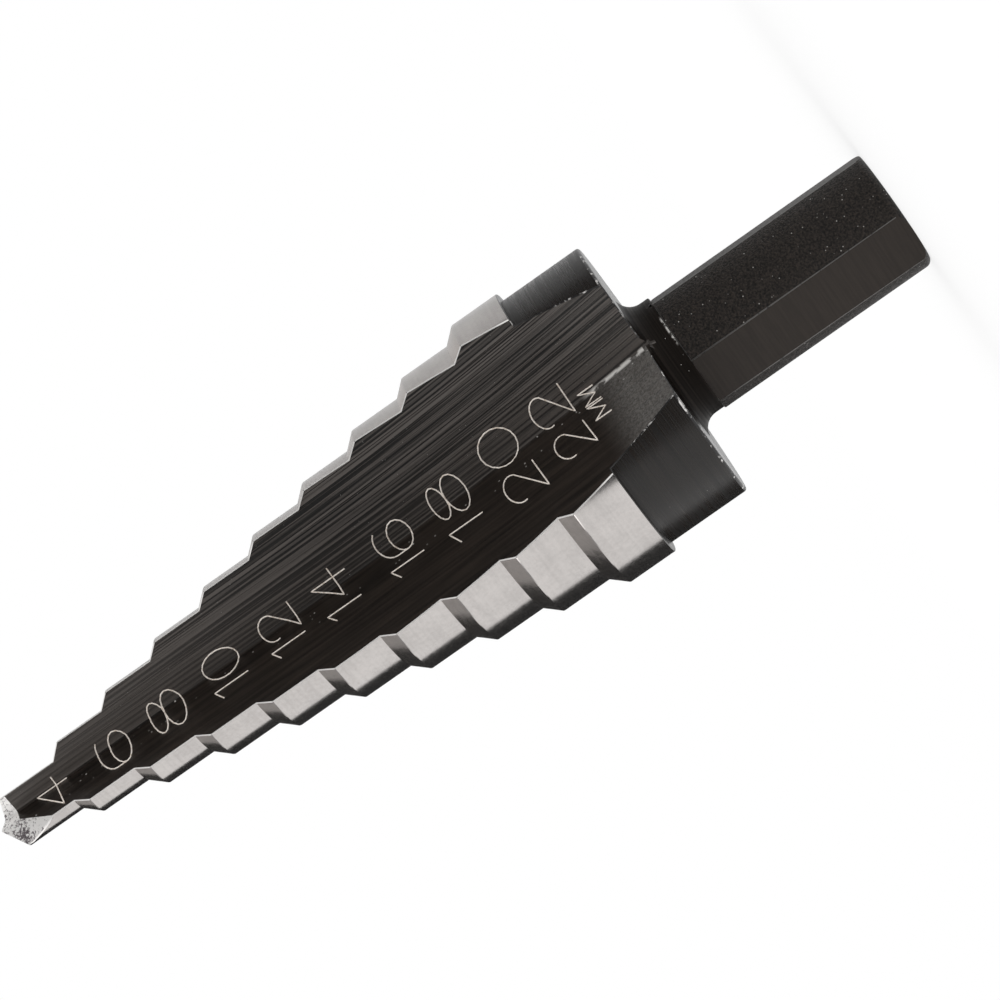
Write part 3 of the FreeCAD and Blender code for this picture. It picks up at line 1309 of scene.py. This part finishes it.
@dataclass
class Studio:
    """A white room: floor, lamp, the surroundings, and dark cards for the reflections."""

    floor_size: float = 6.0
    floor_shadow: float = 0.3
    floor_glow: float = 1.04
    fill: float = 0.95
    lamp_size: float = 0.6
    lamp_power: float = 1.0
    lamp_direction: float = -110.0
    lamp_distance: float = 0.7
    lamp_height: float = 0.6
    lamp_aim: float = 0.04
    cards: tuple[DarkCard, ...] = (
        DarkCard("side_card", start=133.0, end=183.0, low=-60.0, high=45.0),
        DarkCard("slope_card", start=140.0, end=230.0, low=32.0, high=80.0, shade=0.4),
        DarkCard("front_card", start=-103.0, end=-25.0, low=-50.0, high=50.0, shade=0.03),
        DarkCard("face_card", start=-25.0, end=53.0, low=-50.0, high=50.0, shade=0.03),
        DarkCard("back_card", start=53.0, end=133.0, low=-40.0, high=60.0, shade=0.62),
    )

    def build(self, sizes: DrillSizes) -> None:
        """Builds the studio.

        Args:
            sizes: the drill's sizes.
        """
        self.build_floor(sizes)
        self.build_world()
        self.build_lamp()
        for card in self.cards:
            self.build_card(card, sizes)

    def build_floor(self, sizes: DrillSizes) -> None:
        """Lays the floor, which renders white where nothing shades it.

        Args:
            sizes: the drill's sizes.
        """
        deselect()
        bpy.ops.mesh.primitive_plane_add(size=self.floor_size, location=(0, 0, 0))
        floor = bpy.context.view_layer.objects.active
        floor.name = "floor"
        graph = SurfaceGraph("white_floor", sizes)
        cloud = graph.noise(graph.place, 3, 2.0)
        tone = graph.mix(cloud, grey(0.95), grey(0.97))
        paper = graph.shader({"Base Color": tone, "Roughness": 0.9}, cloud, 0.01 * MM)
        glow = {"Color": grey(1), "Strength": self.floor_glow}
        white = graph.node("ShaderNodeEmission", {}, glow)
        share = graph.sight() * (1 - self.floor_shadow)
        shown = graph.node("ShaderNodeMixShader", {}, {0: share, 1: paper, 2: white})
        floor.data.materials.append(graph.finished(shown))

    def build_world(self) -> None:
        """Makes the surroundings white to the camera and to reflections."""
        world = bpy.data.worlds.new("white_room")
        world.use_nodes = True
        graph = Graph(world.node_tree)
        strength = graph.sight() * (1 - self.fill) + self.fill
        sky = graph.node("ShaderNodeBackground", {}, {"Color": grey(1), "Strength": strength})
        graph.node("ShaderNodeOutputWorld", {}, {"Surface": sky})
        bpy.context.scene.world = world

    def build_lamp(self) -> None:
        """Hangs one large soft lamp over the camera's shoulder."""
        deselect()
        bpy.ops.object.light_add(type="AREA")
        lamp = bpy.context.view_layer.objects.active
        lamp.name = "soft_lamp"
        lamp.data.size = self.lamp_size
        lamp.data.energy = self.lamp_power
        place = polar(self.lamp_direction, self.lamp_distance) + Vector((0, 0, self.lamp_height))
        aim = place - Vector((0, 0, self.lamp_aim))
        lamp.location = place
        lamp.rotation_euler = aim.to_track_quat("Z", "Y").to_euler()

    def build_card(self, card: DarkCard, sizes: DrillSizes) -> None:
        """Stands a dark card beside the drill, unseen by the camera.

        Args:
            card: the card.
            sizes: the drill's sizes.
        """
        middle = (card.start + card.end) / 2
        half_width = math.tan(math.radians((card.end - card.start) / 2)) * card.distance
        low = math.tan(math.radians(card.low)) * card.distance
        high = math.tan(math.radians(card.high)) * card.distance
        deselect()
        bpy.ops.mesh.primitive_plane_add(size=1)
        plane = bpy.context.view_layer.objects.active
        plane.name = card.name
        facing, side = polar(middle), polar(middle + 90)
        axes = Matrix((side * 2 * half_width, Vector((0, 0, high - low)), facing)).transposed()
        place = axes.to_4x4()
        lift = Vector((0, 0, sizes.height / 2 + (high + low) / 2))
        place.translation = facing * card.distance + lift
        plane.data.transform(place)
        graph = SurfaceGraph(card.name + "_cloth", sizes)
        weave = graph.noise(graph.place, 900, 2.0)
        tone = graph.mix(weave, grey(card.shade * 0.9), grey(card.shade * 1.1))
        cloth = graph.shader({"Base Color": tone, "Roughness": 0.9}, weave, 0.1 * MM)
        plane.data.materials.append(graph.finished(cloth))
        plane.visible_camera = False
        plane.visible_diffuse = False
        plane.visible_shadow = False
        plane.visible_transmission = False


def report(piece: bpy.types.Object) -> None:
    """Logs a finished piece."""
    LOG.info("%s: %d faces", piece.name, len(piece.data.polygons))


def main() -> None:
    """Builds the drill's looks, the studio and the camera."""
    logging.basicConfig(level=logging.INFO, format="%(name)s: %(message)s")
    sizes = DrillSizes(height=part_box(NODE)[1].z)
    stand = CameraStand()

    body = DrillBody(sizes, SurfaceMap(sizes)).build(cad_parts[NODE])
    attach(body, BODY)
    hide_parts(NODE)
    report(body)

    numbers = StepNumbers(sizes, stand.back).build(body)
    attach(numbers, BODY)
    report(numbers)

    Studio().build(sizes)
    stand.build()
    bpy.context.scene.view_settings.view_transform = "Standard"


if __name__ == "__main__":
    main()
